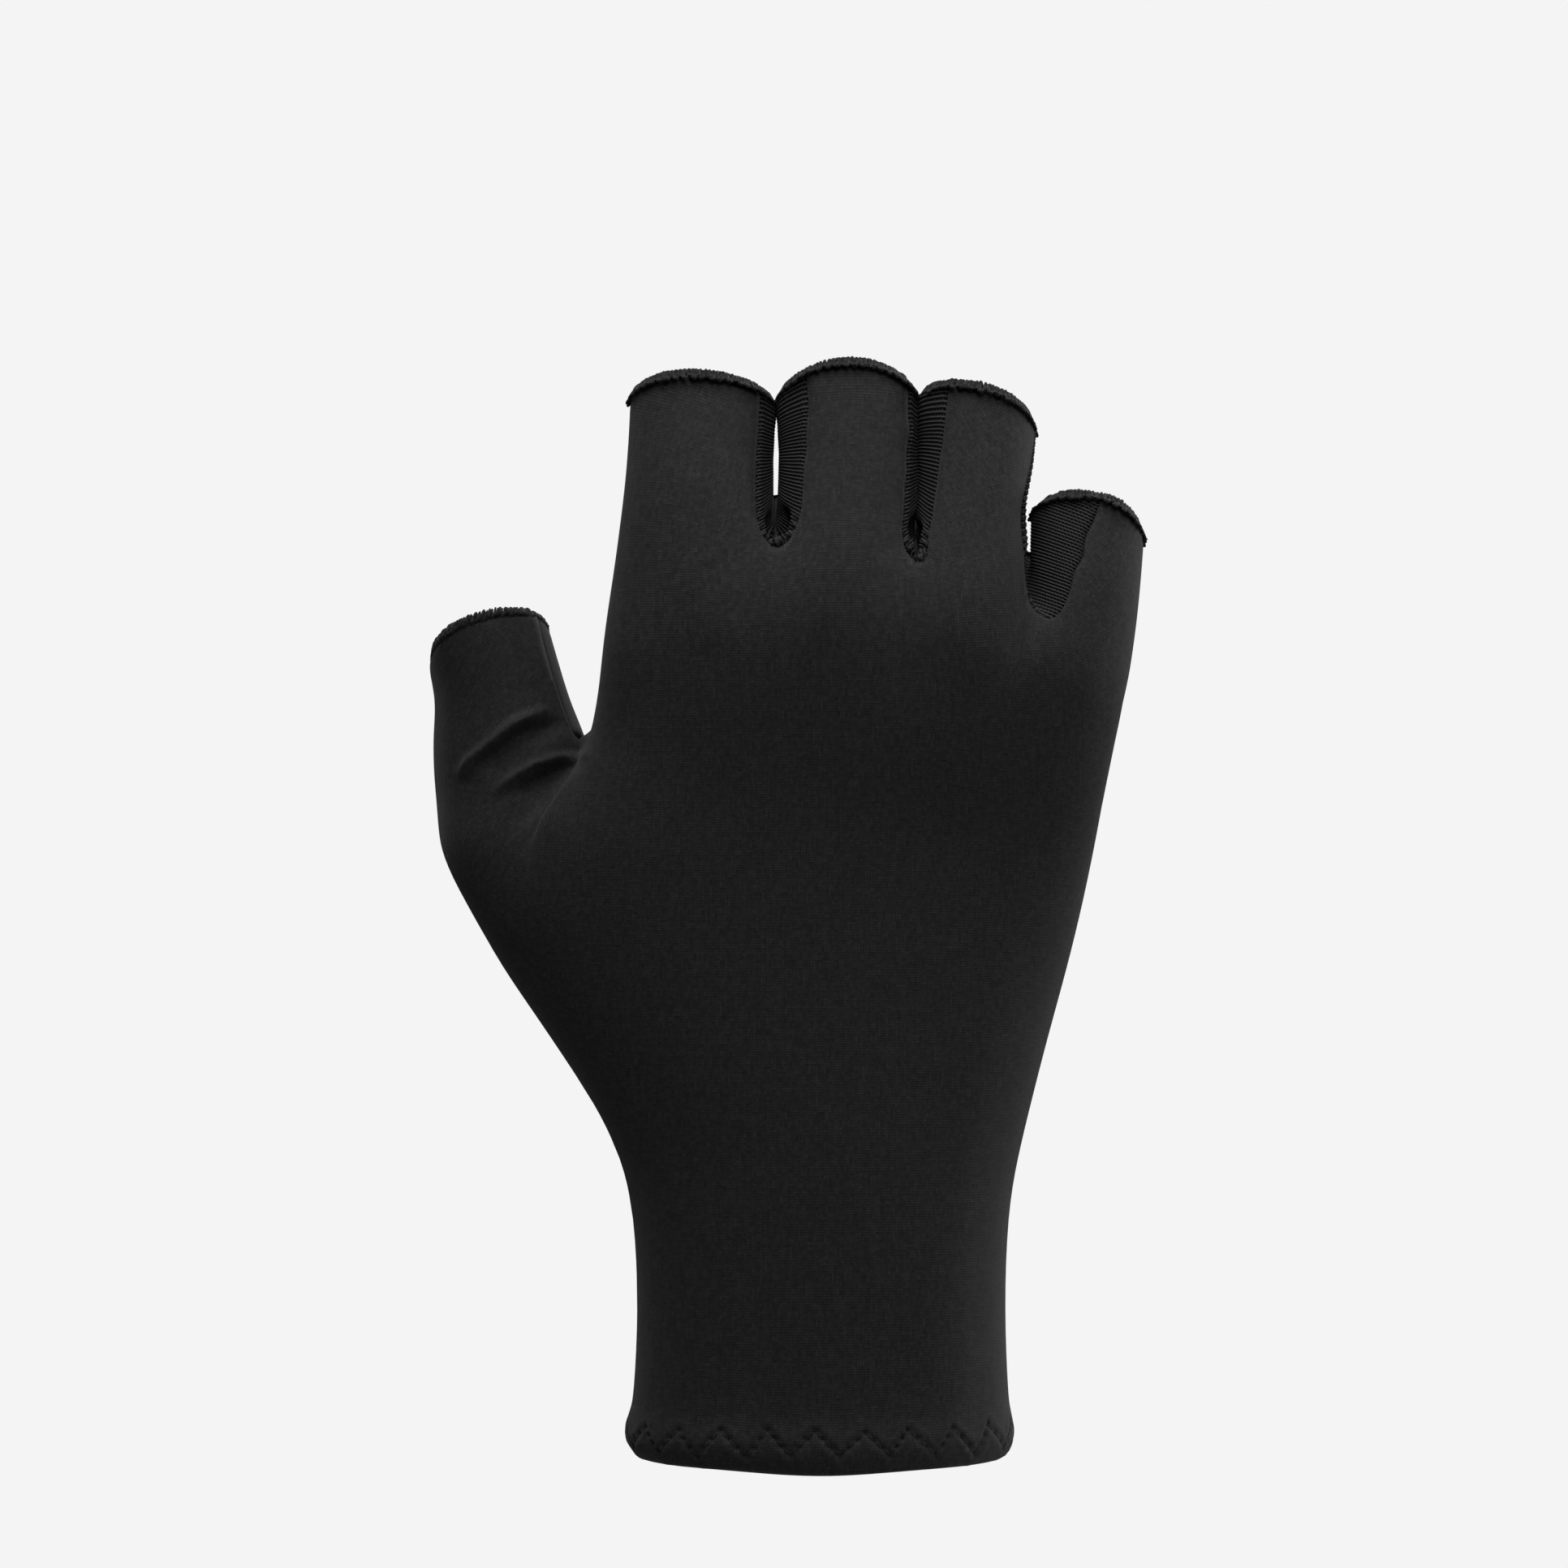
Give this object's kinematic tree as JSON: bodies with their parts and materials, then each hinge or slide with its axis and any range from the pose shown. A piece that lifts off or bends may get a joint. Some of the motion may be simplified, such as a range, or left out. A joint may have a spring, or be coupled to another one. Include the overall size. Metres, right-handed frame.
{
  "type": "short-finger cycling glove",
  "caption": "Thin stretch-knit glove for a right hand, held in its worn form, with open finger ends, mesh gussets between the fingers, a thumb stall and a long turned-hem cuff.",
  "frame": {"origin": "middle of the wrist opening, level with the hem's lowest line at the sides", "axes": "+Z from the wrist towards the fingers, +X towards the little finger, -Y out of the back of the hand and +Y out of the palm"},
  "size_m": [0.1203, 0.041, 0.1828],
  "materials": {
    "back_knit": "fine smooth stretch knit with a faint sheen",
    "palm_knit": "fine smooth stretch knit, plain",
    "gusset_mesh": "ribbed knit mesh with small open holes",
    "edge_thread": "dense overlocked thread"
  },
  "bodies": {
    "root": {"back_panel": "back_knit", "palm_panel": "palm_knit", "fourchette_index_middle": "gusset_mesh", "fourchette_middle_ring": "gusset_mesh", "fourchette_ring_little": "gusset_mesh", "thumb_edge": "edge_thread", "index_edge": "edge_thread", "middle_edge": "edge_thread", "ring_edge": "edge_thread", "little_edge": "edge_thread"}
  },
  "joints": []
}
